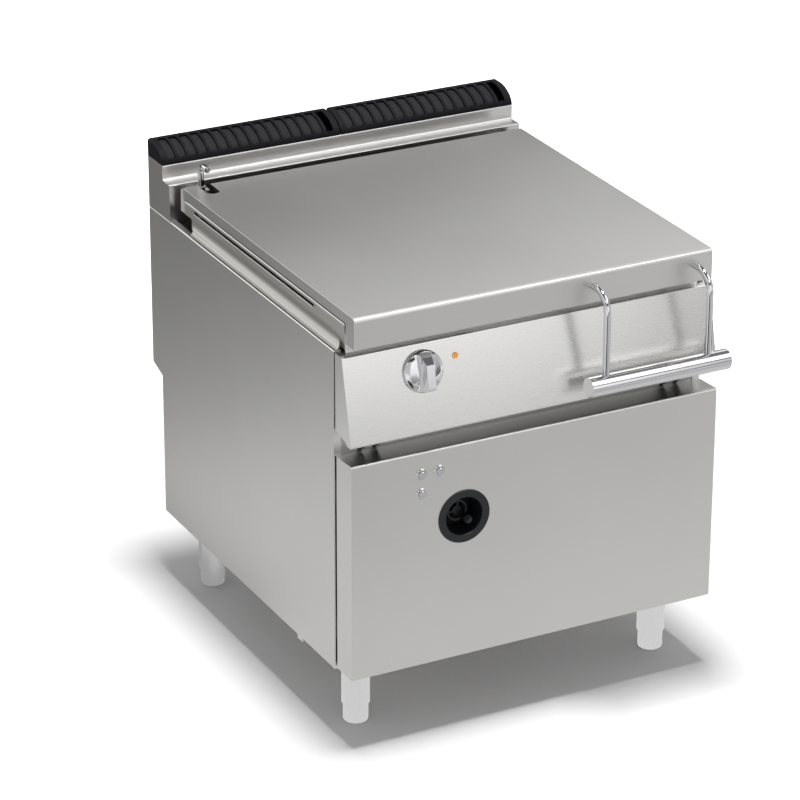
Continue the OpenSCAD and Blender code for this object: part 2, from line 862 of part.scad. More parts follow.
module cable_gland() {
    nut_h = 6;
    y1 = y_low + 24;
    color([0.1, 0.1, 0.1]) difference() {
        union() {
            rod_y(gland_x, gland_z, gland_r, y_low - sheet - seam - nut_h, y_low + seam);
            translate([gland_x, y_low + seam, gland_z]) rotate([-90, 0, 0])
                cylinder(r = gland_r + 5, h = nut_h, $fn = 6);
            rod_y(gland_x, gland_z, gland_r + 1, y_low + seam + nut_h, y1);
        }
        rod_y(gland_x, gland_z, gland_bore_r, y_low - 20, y1 + cut);
    }
}

module terminal_box() {
    w = 70;
    wall = 4;
    y1 = y_low - sheet - seam;
    y0 = y1 - 60;
    z0 = gland_z - 40;
    z1 = gland_z + 100;
    color([0.35, 0.36, 0.38]) difference() {
        block([gland_x - w, y0, z0], [gland_x + w, y1, z1]);
        block([gland_x - w + wall, y0 + wall, z0 + wall], [gland_x + w - wall, y1 - wall / 2, z1 - wall]);
        rod_y(gland_x, gland_z, gland_r + seam, y1 - 10, y1 + cut);
    }
    color([0.1, 0.1, 0.1])
        block([gland_x - w + 30, y0 + 10, z1 - 70], [gland_x + w - 30, y1 - wall / 2, z1 - 40]);
}

module pan_vessel() {
    w = pan_w / 2;
    wo = w + pan_wall;
    color([0.68, 0.68, 0.69]) difference() {
        translate([0, 0, pan_low]) linear_extrude(pan_deep + pan_base - deck_t)
            rounded_rect(-wo, wo, pan_y0 - pan_wall, pan_y1 + pan_wall, pan_corner + pan_wall);
        translate([0, 0, pan_low + pan_base]) linear_extrude(pan_deep)
            rounded_rect(-w, w, pan_y0, pan_y1, pan_corner);
        block([-pour_w / 2 + deck_t, pan_y0 - pan_wall - cut, deck_top - pour_drop],
              [pour_w / 2 - deck_t, pan_y0 + cut, deck_top]);
    }
}

module pan_deck() {
    w = deck_half;
    wi = w - deck_t - seam;
    pour = pour_w / 2;
    zi = deck_top - deck_t;
    front_low = box_top - 30;
    rear_low = deck_top - 27;
    color([0.74, 0.74, 0.74]) difference() {
        union() {
            along_y(deck_y0, deck_y1) polygon(folded(bent([
                [w, deck_top - 2 * bend_r], [w, deck_top], [-w, deck_top], [-w, deck_top - 2 * bend_r]
            ], bend_r), deck_t));
            block([-wi, deck_y0, front_low], [wi, deck_y0 + deck_t, zi]);
            block([-wi, deck_y1 - deck_t, rear_low], [wi, deck_y1, zi]);
        }
        translate([0, 0, zi - cut]) linear_extrude(deck_t + 2 * cut)
            rounded_rect(-pan_w / 2, pan_w / 2, pan_y0, pan_y1, pan_corner);
        block([-pour + deck_t, deck_y0 - cut, zi - cut],
              [pour - deck_t, pan_y0 + pan_corner, deck_top + cut]);
        block([-pour - seam, deck_y0 - cut, zi - pour_drop - pour_fall - seam],
              [pour + seam, deck_y0 + deck_t + cut, zi]);
    }
}

// Jacket at the right: an upright sheet with a long slot and a cove over the side panel
module jacket() {
    x1 = deck_half;
    x2 = front_w;
    z1 = deck_top - 2 * bend_r;
    rear = deck_y1 - 33;
    curve = [for (i = [0:cove_steps]) [
        x2 - (x2 - x1) * cos(90 * i / cove_steps),
        cove_top - (cove_top - jacket_low) * sin(90 * i / cove_steps)
    ]];
    color([0.78, 0.77, 0.75]) {
        difference() {
            along_x(x1 - deck_t, x1) polygon([
                [deck_y0, jacket_low], [rear, jacket_low], [rear, deck_top - 28],
                [deck_y1, deck_top - 28], [deck_y1, z1], [deck_y0, z1]
            ]);
            block([x1 - deck_t - cut, deck_y0 + 126, jacket_slot_z],
                  [x1 + cut, deck_y1 - 44, jacket_slot_z + jacket_slot_h]);
        }
        intersection() {
            along_y(deck_y0, deck_y1) polygon(folded(curve, -deck_t));
            along_x(x1 - 3, x2 + cut) polygon([
                [deck_y0 + 3, jacket_low - 3], [rear - 25, jacket_low - 3],
                [rear + 3, cove_top + 1], [deck_y0 + 29, cove_top + 1]
            ]);
        }
    }
}

module jacket_right() {
    jacket();
}

module jacket_left() {
    mirror([1, 0, 0]) jacket();
}

module pour_trough() {
    y0 = deck_y0 - pour_out;
    y1 = pan_y0 - pan_wall;
    zr = deck_top - pour_drop;
    zf = zr - pour_fall;
    zt = deck_top - deck_t;
    color([0.76, 0.76, 0.76]) {
        along_x(-pour_w / 2, pour_w / 2)
            polygon([[y0, zf], [y0, zf - deck_t], [y1, zr - deck_t], [y1, zr]]);
        mirrored_pair() along_x(pour_w / 2 - deck_t, pour_w / 2) polygon([
            [y0, zf - deck_t], [y1, zr - deck_t], [y1, zt], [deck_y0 + deck_t, zt], [y0, zf + 8]
        ]);
    }
}

module heating_tray() {
    x = pan_w / 2 - tray_inset;
    y0 = pan_y0 + tray_inset;
    y1 = pan_y1 - tray_inset;
    r = pan_corner - 10;
    t = 2;
    color([0.6, 0.6, 0.6]) difference() {
        translate([0, 0, tray_low]) linear_extrude(tray_h)
            rounded_rect(-x, x, y0, y1, r);
        translate([0, 0, tray_low + t]) linear_extrude(tray_h)
            rounded_rect(-x + t, x - t, y0 + t, y1 - t, r - t);
    }
}

// Hairpin heating elements held against the underside of the pan
module heating_elements() {
    r = 4.25;
    bend_r = 26;
    z = pan_low - r - seam;
    y0 = pan_y0 + 70;
    y1 = pan_y1 - 70 - bend_r;
    pitch = (pan_w - 170) / 5;
    color([0.35, 0.2, 0.15]) for (i = [-2.5:2.5]) translate([i * pitch, 0, 0]) {
        rod_y(-bend_r, z, r, y0, y1);
        rod_y(bend_r, z, r, y0, y1);
        translate([0, y1, z]) rotate_extrude(angle = 180) translate([bend_r, 0]) circle(r = r);
    }
}

module tilt_arms() {
    y1 = pan_y0 - pan_wall;
    color([0.55, 0.55, 0.56]) mirrored_pair() difference() {
        along_x(hinge_x - knuckle_w / 2, hinge_x + knuckle_w / 2) {
            translate(pivot) circle(r = knuckle_r);
            polygon([
                pivot + [7, 7], pivot + [34, 18], [y1, pan_low + 20], [y1, pan_low + 90],
                pivot + [5, 80], pivot + [-10, 20], pivot + [-9, 0]
            ]);
        }
        rod_x(pivot, hinge_pin_d / 2 + run_fit, hinge_x - knuckle_w, hinge_x + knuckle_w);
    }
}

module link_lug() {
    r = link_pin_d / 2 + 7;
    gap = crank_t / 2 + 1;
    t = 6;
    xm = link_x + crank_t / 2;
    color([0.55, 0.55, 0.56]) difference() {
        union() {
            for (x = [xm - gap - t, xm + gap])
                along_x(x, x + t) {
                    translate(lug) circle(r = r);
                    translate([lug[0] - r, lug[1]]) square([2 * r, tray_low - lug[1]]);
                }
            block([xm - gap - t, lug[0] - r - 8, tray_low - 5], [xm + gap + t, lug[0] + r + 8, tray_low]);
        }
        rod_x(lug, link_pin_d / 2 + pin_fit, xm - gap - t - cut, xm + gap + t + cut);
    }
    color([0.7, 0.7, 0.72]) rod_x(lug, link_pin_d / 2, xm - gap - t - 2, xm + gap + t + 2);
}

module control_panel() {
    low = [y_front - box_out_low, box_low];
    lip = low + [box_lip, 0];
    outline = bent([
        [box_end, box_top], [y_front - box_out_top, box_top - box_fall], low, lip, lip + box_step,
        [box_end, box_low + box_rise]
    ], bend_r);
    cut_x = knuckle_w / 2 + ear_t + 4;
    w = deck_half + seam;
    color([0.86, 0.86, 0.84]) difference() {
        union() {
            along_x(-front_w, front_w) polygon(folded(outline, box_t));
            mirrored_pair() along_x(front_w - box_t, front_w) polygon(outline);
        }
        block([-w, box_rear, box_low], [w, box_end + cut, box_top + cut]);
        mirrored_pair() rod_x(pivot, slot_r, hinge_x - cut_x, hinge_x + cut_x);
        on_face(knob_x, box_top - knob_drop) translate([0, 0, -10]) cylinder(r = spindle_r + 2, h = 20);
        on_face(lamp_x, lamp_z) translate([0, 0, -10]) cylinder(r = lamp_d / 2 - 2 + seam, h = 20);
    }
}

module thermostat() {
    color([0.2, 0.2, 0.22]) on_face(knob_x, box_top - knob_drop) difference() {
        translate([0, 0, -box_t - seam - 22]) cylinder(r = 20, h = 22);
        translate([0, 0, -box_t - seam - 12]) cylinder(r = spindle_r + run_fit, h = 20);
    }
}

module pilot_lamp() {
    r = lamp_d / 2;
    color([0.92, 0.6, 0.2]) on_face(lamp_x, lamp_z) rotate_extrude() polygon([
        [0, -box_t - 14], [r - 2, -box_t - 14], [r - 2, 0], [r, 0], [r, 1], [r - 1, 2.2], [0, 3]
    ]);
}

module control_knob() {
    r = knob_d / 2;
    grip_w = 16;
    grip_h = 36;
    // Half of the grip's hollow section, from its foot to its outer edge
    half = [[r * 0.55, 4], [r * 0.36, 11], [r * 0.27, 20], [grip_w / 2, grip_h]];
    color([0.85, 0.85, 0.86]) on_face(knob_x, box_top - knob_drop) {
        rotate_extrude() polygon([
            [0, free_gap], [r - 2, free_gap], [r, 2.5], [r, 5], [r - 2, 7.5],
            [r - 10, 10], [r - 22, 12], [0, 12.5]
        ]);
        intersection() {
            translate([0, 0, 2]) cylinder(r1 = r - 1, r2 = r - 7, h = grip_h - 2);
            rotate([90, 0, 90]) translate([0, 0, -r]) linear_extrude(2 * r) polygon([
                [-r, 4], [r, 4], [r, 11], [r * 0.4, grip_h], [-r * 0.7, grip_h], [-r, grip_h - 9]
            ]);
            rotate([90, 0, 0]) translate([0, 0, -r]) linear_extrude(2 * r)
                polygon(concat(half, [for (i = [3:-1:0]) [-half[i][0], half[i][1]]]));
        }
        translate([0, 0, -box_t - 10]) cylinder(r = spindle_r, h = box_t + 13);
    }
}

module lid_brackets() {
    x1 = deck_half;
    r = 8;
    low = deck_top - 27;
    color([0.7, 0.7, 0.71]) mirrored_pair() {
        difference() {
            along_x(x1 - 4, x1) {
                translate(lid_axis) circle(r = r);
                polygon([
                    [deck_y1 + seam, low], [lid_axis[0] + r, low], [lid_axis[0] + r, lid_axis[1]],
                    [lid_axis[0] - r, lid_axis[1]], [deck_y1 + seam, deck_top]
                ]);
            }
            rod_x(lid_axis, lid_pin_r + pin_fit, x1 - 4 - cut, x1 + cut);
        }
        rod_x(lid_axis, lid_pin_r, lid_ear_x - 4, x1);
    }
}

module lid_shell() {
    z1 = lid_top;
    zf = lid_top - lid_front_h;
    zs = lid_top - lid_side_h;
    edge = arc([lid_y0 + lid_edge_r, z1 - lid_edge_r], lid_edge_r, 90, 180, 8);
    color([0.72, 0.72, 0.71]) difference() {
        union() {
            along_x(-lid_half, lid_half) polygon(folded(concat(
                [[lid_y1, z1]], edge, [[lid_y0, zf], [lid_y0 + 9, zf]]
            ), lid_t));
            mirrored_pair() along_x(lid_half - lid_t, lid_half) polygon(concat(
                [[lid_y1, z1]], edge, [[lid_y0, zf], [lid_y0 + 35, zf], [lid_y0 + 35, zs], [lid_y1, zs]]
            ));
        }
        block([spout_x - notch_r, lid_axis[0] - notch_deep + notch_r, z1 - lid_t - cut],
              [spout_x + notch_r, lid_y1 + cut, z1 + cut]);
        rod_z(spout_x, lid_axis[0] - notch_deep + notch_r, notch_r, z1 - lid_t - cut, z1 + cut);
    }
}

module lid_ears() {
    z1 = lid_top - lid_t;
    y0 = lid_y1 - 70;
    r = 9;
    color([0.65, 0.65, 0.66]) mirrored_pair() difference() {
        along_x(lid_ear_x, lid_ear_x + lid_ear_t) {
            translate(lid_axis) circle(r = r);
            polygon([
                lid_axis + [-1, -r], lid_axis + [1, r], [lid_y1 - 1, z1], [y0, z1], [y0, z1 - 8]
            ]);
        }
        rod_x(lid_axis, lid_pin_r + run_fit, lid_ear_x - cut, lid_ear_x + lid_ear_t + cut);
    }
}

module handle_arms() {
    r = arm_d / 2;
    c = [bar_y + arm_bend, arm_z - arm_bend];
    color([0.86, 0.86, 0.88]) for (x = arm_set) {
        rod_y(x, arm_z, r, c[0], lid_y0);
        bend_yz(x, c, arm_bend, r, 90, 90);
        rod_z(x, bar_y, r, bar_z + arm_sink, c[1]);
    }
}

module handle_bar() {
    color([0.82, 0.82, 0.84]) difference() {
        rod_x([bar_y, bar_z], bar_d / 2, bar_right - bar_l, bar_right);
        for (x = arm_set)
            rod_z(x, bar_y, arm_d / 2 + pin_fit, bar_z + arm_sink, bar_z + bar_d);
    }
}

module crank_wheel() {
    color([0.16, 0.16, 0.17]) {
        translate([drive_x, wheel_y, drive_z]) rotate([90, 0, 0]) {
            rotate_extrude() translate([wheel_ring, 0]) circle(r = wheel_tube);
            translate([0, 0, -12]) cylinder(r = worm_shaft_d / 2 + 1, h = 12);
            for (a = [75, 195, 315])
                rotate(a) translate([0, 0, -3]) rotate([0, 90, 0]) cylinder(r = 2.5, h = wheel_ring);
        }
        rod_y(grip_at[0], grip_at[1], grip_pin_r, wheel_y - wheel_tube - grip_l - 1, wheel_y);
        rod_y(grip_at[0], grip_at[1], grip_pin_r + 2, wheel_y - wheel_tube - grip_l - 2.5,
              wheel_y - wheel_tube - grip_l - 0.8);
    }
}

module crank_grip() {
    y1 = wheel_y - wheel_tube - 0.4;
    color([0.2, 0.2, 0.21]) translate([grip_at[0], y1, grip_at[1]]) rotate([90, 0, 0]) difference() {
        rotate_extrude() polygon([
            [0, 0], [grip_r - 2, 0], [grip_r, 4], [grip_r, grip_l - 4],
            [grip_r - 2, grip_l - 0.8], [0, grip_l - 0.8]
        ]);
        translate([0, 0, -cut]) cylinder(r = grip_pin_r + run_fit, h = grip_l + 2 * cut);
    }
}

module worm_shaft() {
    half = 2.5 * worm_pitch;
    color([0.6, 0.6, 0.62]) {
        rod_y(drive_x, drive_z, worm_shaft_d / 2, wheel_y + 12, crank_axis[0] - half);
        rod_y(drive_x, drive_z, worm_shaft_d / 2, crank_axis[0] + half, crank_axis[0] + gearbox_r + 6);
    }
}

// Single-start right-hand worm: a disc set off its centre, wound along the shaft
module worm() {
    turns = 5;
    depth = 2.25 * gear_m / 2;
    core = worm_d / 2 - depth / 3;
    color([0.62, 0.6, 0.55]) translate([drive_x, crank_axis[0] + turns * worm_pitch / 2, drive_z])
        rotate([90, 0, 0])
            linear_extrude(turns * worm_pitch, twist = -360 * turns, slices = 10 * turns, segments = 20,
                           $fn = 20)
                translate([0, depth]) circle(r = core, $fn = 20);
}

module crank_shaft() {
    color([0.6, 0.6, 0.62]) rod_x(crank_axis, crank_shaft_d / 2,
        drive_x - gearbox_half - box_wall - bush_flange - 3, crank_x + crank_t + 3);
}

module worm_wheel() {
    r0 = wheel_r - 1.25 * gear_m;
    r1 = wheel_r + gear_m;
    step = 360 / gear_teeth;
    tooth = [[r0, -0.27], [wheel_r, -0.18], [r1, -0.09], [r1, 0.09], [wheel_r, 0.18], [r0, 0.27]];
    x0 = drive_x - gearbox_half;
    x1 = drive_x + gearbox_half;
    color([0.72, 0.56, 0.3]) difference() {
        union() {
            along_x(drive_x - gear_w / 2, drive_x + gear_w / 2) translate(crank_axis) polygon([
                for (i = [0:gear_teeth - 1], t = tooth)
                    t[0] * [cos(step * (i + t[1]) - 90), sin(step * (i + t[1]) - 90)]
            ]);
            rod_x(crank_axis, crank_shaft_d / 2 + 7, x0 + 1, x1 - 1);
        }
        rod_x(crank_axis, crank_shaft_d / 2 + pin_fit, x0 - cut, x1 + cut);
        for (a = [0:60:300])
            rod_x(crank_axis + 26 * [cos(a), sin(a)], 6, drive_x - gear_w, drive_x + gear_w);
    }
}

module crank_arm() {
    color([0.5, 0.5, 0.52]) {
        difference() {
            along_x(crank_x, crank_x + crank_t) eye_bar(crank_axis, crank_end, crank_shaft_d / 2 + 12, 14);
            rod_x(crank_axis, crank_shaft_d / 2 + pin_fit, crank_x - cut, crank_x + crank_t + cut);
        }
        rod_x(crank_end, link_pin_d / 2, crank_x + crank_t, link_x + crank_t + 3);
    }
}

module tilt_link() {
    r = link_pin_d / 2 + 7;
    color([0.5, 0.5, 0.52]) difference() {
        along_x(link_x, link_x + crank_t) eye_bar(crank_end, lug, r, r);
        rod_x(crank_end, link_pin_d / 2 + run_fit, link_x - cut, link_x + crank_t + cut);
        rod_x(lug, link_pin_d / 2 + free_gap, link_x - cut, link_x + crank_t + cut);
    }
}

side_panel_left();
side_panel_right();
rear_panel();
base_tray();
front_rail();
rear_rail();
rest_pads();
cross_beam();
front_panel();
crank_recess();
button_bezels();
gearbox_housing();
gearbox_cover();
gearbox_bushes();
tilt_brackets();
leg_sleeves();
flue_housing();
flue_grille_left();
flue_grille_right();
water_spout();
spout_bracket();
water_pipe();
water_valve();
water_inlet();
cable_gland();
terminal_box();
pan_vessel();
pan_deck();
jacket_left();
jacket_right();
pour_trough();
heating_tray();
heating_elements();
tilt_arms();
link_lug();
control_panel();
thermostat();
pilot_lamp();
lid_brackets();
lid_shell();
lid_ears();
handle_arms();
handle_bar();
control_knob();
button_left();
button_right();
button_lower();
crank_wheel();
worm_shaft();
worm();
crank_grip();
crank_shaft();
worm_wheel();
crank_arm();
tilt_link();
foot_front_left();
foot_front_right();
foot_rear_left();
foot_rear_right();
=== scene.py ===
"""Finishes, small trim, studio and camera for a tilting bratt pan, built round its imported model."""

import json
import math

import bmesh
import bpy
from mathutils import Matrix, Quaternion, Vector


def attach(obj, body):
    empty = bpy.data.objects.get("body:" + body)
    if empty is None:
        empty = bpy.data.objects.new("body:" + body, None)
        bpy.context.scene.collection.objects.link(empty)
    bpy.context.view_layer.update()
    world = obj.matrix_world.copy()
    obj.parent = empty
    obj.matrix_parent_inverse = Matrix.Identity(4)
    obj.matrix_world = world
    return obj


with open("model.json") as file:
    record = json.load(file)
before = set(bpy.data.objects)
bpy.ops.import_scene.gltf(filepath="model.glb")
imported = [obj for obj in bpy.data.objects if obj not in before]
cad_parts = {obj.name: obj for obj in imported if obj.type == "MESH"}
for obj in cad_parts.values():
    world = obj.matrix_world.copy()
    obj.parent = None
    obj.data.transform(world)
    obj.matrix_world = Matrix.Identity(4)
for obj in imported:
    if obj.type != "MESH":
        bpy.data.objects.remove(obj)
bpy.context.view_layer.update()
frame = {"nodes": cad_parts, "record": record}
nodes = frame["nodes"]
scene = bpy.context.scene

# Camera of the photograph: degrees, metres, and a focal length in pixels of a frame IMAGE_W wide
IMAGE_W = 800
FOCAL_PX = 3766.4
SENSOR_MM = 36
CAMERA_AZIMUTH = -27.57
CAMERA_ELEVATION = 24.15
CAMERA_ROLL = 0.17
CAMERA_PLACE = Vector((-3.2464, -6.0707, 3.5749))

# What the record says of each node: its slot and its body
RECORD = frame["record"]
SLOT_OF = {part["node"]: part["material_slot"] for part in RECORD["subparts"]}
BODY_OF = {node: body for body, carried in RECORD["behaviour"]["bodies"].items() for node in carried}


def back_vector(azimuth, elevation):
    """The direction from the object to a camera that stands at these angles."""
    a, e = math.radians(azimuth), math.radians(elevation)
    return Vector((math.sin(a) * math.cos(e), -math.cos(a) * math.cos(e), math.sin(e)))


def make_camera():
    data = bpy.data.cameras.new("camera")
    data.sensor_width = SENSOR_MM
    data.lens = FOCAL_PX / IMAGE_W * SENSOR_MM
    camera = bpy.data.objects.new("camera", data)
    scene.collection.objects.link(camera)
    look = -back_vector(CAMERA_AZIMUTH, CAMERA_ELEVATION)
    camera.rotation_mode = "QUATERNION"
    roll = Quaternion((0, 0, 1), math.radians(CAMERA_ROLL))
    camera.rotation_quaternion = look.to_track_quat("-Z", "Y") @ roll
    camera.location = CAMERA_PLACE
    scene.camera = camera


# Node trees

def new_material(name):
    """A material with an empty tree but for its output and a Principled shader."""
    material = bpy.data.materials.new(name)
    material.use_nodes = True
    shader = next(n for n in material.node_tree.nodes if n.type == "BSDF_PRINCIPLED")
    return material, material.node_tree, shader


def add(tree, kind, **inputs):
    """A node of that kind, with its inputs set to values or linked to sockets."""
    node = tree.nodes.new(kind)
    for name, value in inputs.items():
        socket = node.inputs[int(name[1:]) if name[0] == "_" else name.replace("_", " ")]
        if isinstance(value, bpy.types.NodeSocket):
            tree.links.new(value, socket)
        else:
            socket.default_value = value
    return node


def math_node(tree, operation, a, b):
    node = add(tree, "ShaderNodeMath", _0=a, _1=b)
    node.operation = operation
    return node.outputs[0]


def times(tree, a, b):
    return math_node(tree, "MULTIPLY", a, b)


def noise(tree, scale, detail=2.0, roughness=0.5, stretch=(1, 1, 1)):
    """Noise in the object's own metres, stretched along its axes."""
    place = add(tree, "ShaderNodeTexCoord").outputs["Object"]
    mapping = add(tree, "ShaderNodeMapping", Vector=place, Scale=stretch)
    node = add(tree, "ShaderNodeTexNoise", Vector=mapping.outputs[0], Scale=scale,
               Detail=detail, Roughness=roughness)
    return node.outputs["Fac"]


def spread(tree, value, low, high):
    """A 0 to 1 value brought to the range from low to high."""
    node = add(tree, "ShaderNodeMapRange", Value=value, To_Min=low, To_Max=high)
    return node.outputs[0]


def tinted(tree, colour, factor):
    """A colour multiplied by a grey factor socket."""
    node = tree.nodes.new("ShaderNodeVectorMath")
    node.operation = "SCALE"
    node.inputs[0].default_value = colour
    tree.links.new(factor, node.inputs["Scale"])
    return node.outputs[0]


def bump(tree, shader, height, strength, distance):
    node = add(tree, "ShaderNodeBump", Height=height, Strength=strength, Distance=distance)
    tree.links.new(node.outputs[0], shader.inputs["Normal"])


# Brushing: the noise that draws the lines, how far it is drawn out along them, and the depth of the lines
BRUSH_SCALE = 1400
BRUSH_ALONG = {"x": (0.02, 1, 1), "y": (1, 0.02, 1), "z": (1, 1, 0.02)}
BRUSH_LINES = 0.04
BRUSH_DEPTH = 0.00003
CLOUD_SCALE = 3

# Painted shade on the cove at the foot of each jacket: its top and height, and the share of the sheet's
# brightness that the shaded cove keeps
COVE_TOP = 0.842
COVE_HIGH = 0.022
COVE_SHADE_SHARE = 0.55


def brushed_steel(name, colour, roughness, along, cloud=0.05, shade_below=None):
    """Satin steel: fine brush lines along one axis, faint broad clouds, and painted shade that darkens it
    below a height if given.
    """
    material, tree, shader = new_material(name)
    fine = noise(tree, BRUSH_SCALE, detail=2, roughness=0.6, stretch=BRUSH_ALONG[along])
    broad = noise(tree, CLOUD_SCALE, detail=3, roughness=0.5)
    shade = times(tree, spread(tree, fine, 1 - BRUSH_LINES, 1 + BRUSH_LINES),
                  spread(tree, broad, 1 - cloud, 1 + cloud))
    if shade_below:
        height = add(tree, "ShaderNodeSeparateXYZ", _0=add(tree, "ShaderNodeTexCoord").outputs["Object"])
        # Painted shade: the base colour falls to the cove's share below the given height
        cove_shade = add(tree, "ShaderNodeMapRange", Value=height.outputs["Z"], From_Min=shade_below - COVE_HIGH,
                  From_Max=shade_below, To_Min=COVE_SHADE_SHARE, To_Max=1.0)
        shade = times(tree, shade, cove_shade.outputs[0])
    tree.links.new(tinted(tree, colour, shade), shader.inputs["Base Color"])
    rough = math_node(tree, "ADD", spread(tree, fine, roughness - 0.03, roughness + 0.03),
                      spread(tree, broad, -0.02, 0.02))
    tree.links.new(rough, shader.inputs["Roughness"])
    shader.inputs["Metallic"].default_value = 1.0
    bump(tree, shader, fine, 0.35, BRUSH_DEPTH)
    return material


HAZE_SCALE = 60


def polished_metal(name, colour, roughness, haze=0.03):
    """Chrome or polished tube, with a faint uneven haze in its gloss."""
    material, tree, shader = new_material(name)
    broad = noise(tree, HAZE_SCALE, detail=2)
    tree.links.new(spread(tree, broad, roughness, roughness + haze), shader.inputs["Roughness"])
    tree.links.new(tinted(tree, colour, spread(tree, broad, 0.98, 1.02)), shader.inputs["Base Color"])
    shader.inputs["Metallic"].default_value = 1.0
    return material


MOTTLE_SCALE = 25


def coated(name, colour, roughness, grain_scale, grain_depth, metallic=0.0, mottle=0.12, sheen=0.5):
    """Enamel, moulded plastic, rubber or paint with a fine grain."""
    material, tree, shader = new_material(name)
    grain = noise(tree, grain_scale, detail=3, roughness=0.6)
    broad = noise(tree, MOTTLE_SCALE, detail=2)
    tree.links.new(tinted(tree, colour, spread(tree, broad, 1 - mottle, 1 + mottle)),
                   shader.inputs["Base Color"])
    tree.links.new(spread(tree, grain, roughness - 0.06, roughness + 0.06), shader.inputs["Roughness"])
    shader.inputs["Metallic"].default_value = metallic
    shader.inputs["Specular IOR Level"].default_value = sheen
    bump(tree, shader, grain, 0.4, grain_depth)
    return material


WEAVE_SCALE = 150
WEAVE_DEPTH = 0.0006
WIRE_COLOUR = (0.04, 0.039, 0.042)


def mesh_cloth(name):
    """Dark woven wire: two crossed sets of fine ridges."""
    material, tree, shader = new_material(name)
    place = add(tree, "ShaderNodeTexCoord").outputs["Object"]
    waves = []
    for direction in ("X", "Y"):
        wave = add(tree, "ShaderNodeTexWave", Vector=place, Scale=WEAVE_SCALE, Distortion=0.0)
        wave.bands_direction = direction
        waves.append(wave.outputs["Fac"])
    weave = times(tree, *waves)
    tree.links.new(tinted(tree, WIRE_COLOUR, spread(tree, weave, 0.3, 1.2)), shader.inputs["Base Color"])
    shader.inputs["Roughness"].default_value = 0.55
    shader.inputs["Specular IOR Level"].default_value = 0.1
    bump(tree, shader, weave, 0.6, WEAVE_DEPTH)
    return material


LENS_SCALE = 700
LENS_DEPTH = 0.0003
LENS_COLOUR = (0.93, 0.47, 0.12)
LENS_GLOW = (0.95, 0.42, 0.06, 1)


def lamp_lens(name):
    """Orange lens with small cells, like a moulded prism lens, and a weak glow."""
    material, tree, shader = new_material(name)
    place = add(tree, "ShaderNodeTexCoord").outputs["Object"]
    cells = add(tree, "ShaderNodeTexVoronoi", Vector=place, Scale=LENS_SCALE).outputs["Distance"]
    tree.links.new(tinted(tree, LENS_COLOUR, spread(tree, cells, 0.8, 1.1)), shader.inputs["Base Color"])
    shader.inputs["Roughness"].default_value = 0.25
    shader.inputs["Subsurface Weight"].default_value = 0.4
    shader.inputs["Subsurface Scale"].default_value = 0.002
    shader.inputs["Emission Color"].default_value = LENS_GLOW
    shader.inputs["Emission Strength"].default_value = 0.25
    bump(tree, shader, cells, 0.5, LENS_DEPTH)
    return material


def make_materials():
    """Every finish of the object, by name."""
    steel = (0.66, 0.655, 0.64)
    return {
        "side_steel": brushed_steel("side_steel", steel, 0.36, "y"),
        "front_steel": brushed_steel("front_steel", steel, 0.33, "x"),
        "panel_steel": brushed_steel("panel_steel", (0.74, 0.735, 0.72), 0.27, "x"),
        "lid_steel": brushed_steel("lid_steel", steel, 0.34, "x"),
        "deck_steel": brushed_steel("deck_steel", (0.82, 0.815, 0.8), 0.32, "y"),
        "flue_steel": brushed_steel("flue_steel", (0.62, 0.615, 0.605), 0.32, "x"),
        # The jackets carry painted shade on their cove
        "jacket_steel": brushed_steel("jacket_steel", (0.66, 0.65, 0.615), 0.34, "y",
                                      shade_below=COVE_TOP),
        "leg_steel": brushed_steel("leg_steel", (0.8, 0.8, 0.8), 0.28, "z"),
        # Steel darkened to 0.2: painted shade for the tilt brackets and arms, which sit in the shade under
        # the control box
        "link_steel_painted_shade": brushed_steel("link_steel_painted_shade", (0.2, 0.2, 0.2), 0.5, "y"),
        "bar_steel": polished_metal("bar_steel", (0.66, 0.655, 0.67), 0.14),
        "frame_steel": brushed_steel("frame_steel", (0.5, 0.5, 0.5), 0.45, "x", cloud=0.1),
        "chrome": polished_metal("chrome", (0.6, 0.6, 0.615), 0.04),
        "grille_enamel": coated("grille_enamel", (0.009, 0.009, 0.011), 0.5, 900, 0.0001, sheen=0.08),
        "grille_mesh": mesh_cloth("grille_mesh"),
        "black_plastic": coated("black_plastic", (0.012, 0.013, 0.016), 0.4, 1200, 0.00005, sheen=0.4),
        "lamp": lamp_lens("lamp"),
        "bronze": brushed_steel("bronze", (0.66, 0.47, 0.24), 0.3, "x"),
        "iron_paint": coated("iron_paint", (0.16, 0.17, 0.19), 0.5, 500, 0.0002, mottle=0.15),
        "copper": polished_metal("copper", (0.78, 0.48, 0.34), 0.22, 0.1),
        "rubber": coated("rubber", (0.03, 0.03, 0.03), 0.75, 600, 0.0001),
        "element": coated("element", (0.12, 0.075, 0.055), 0.5, 700, 0.0001, metallic=0.7, mottle=0.3),
    }


# Finish of each node: that of its slot, apart from the nodes that differ
SLOT_FINISH = {
    "steel_panel": "side_steel", "steel_front": "front_steel", "steel_pan": "deck_steel",
    "steel_frame": "frame_steel", "chrome": "chrome", "black_enamel": "grille_enamel",
    "black_plastic": "black_plastic", "lamp_lens": "lamp", "bronze": "bronze",
    "drive_iron": "iron_paint", "copper": "copper", "rubber_pad": "rubber",
    "element_sheath": "element",
}
NODE_FINISH = {
    "control_panel": "panel_steel", "lid_shell": "lid_steel", "lid_ears": "lid_steel",
    "flue_housing": "flue_steel", "leg_sleeves": "leg_steel", "foot_front_left": "leg_steel",
    "foot_front_right": "leg_steel", "foot_rear_left": "leg_steel", "foot_rear_right": "leg_steel",
    "handle_bar": "bar_steel", "rear_panel": "flue_steel", "tilt_brackets": "link_steel_painted_shade",
    "tilt_arms": "link_steel_painted_shade", "jacket_left": "jacket_steel", "jacket_right": "jacket_steel",
}


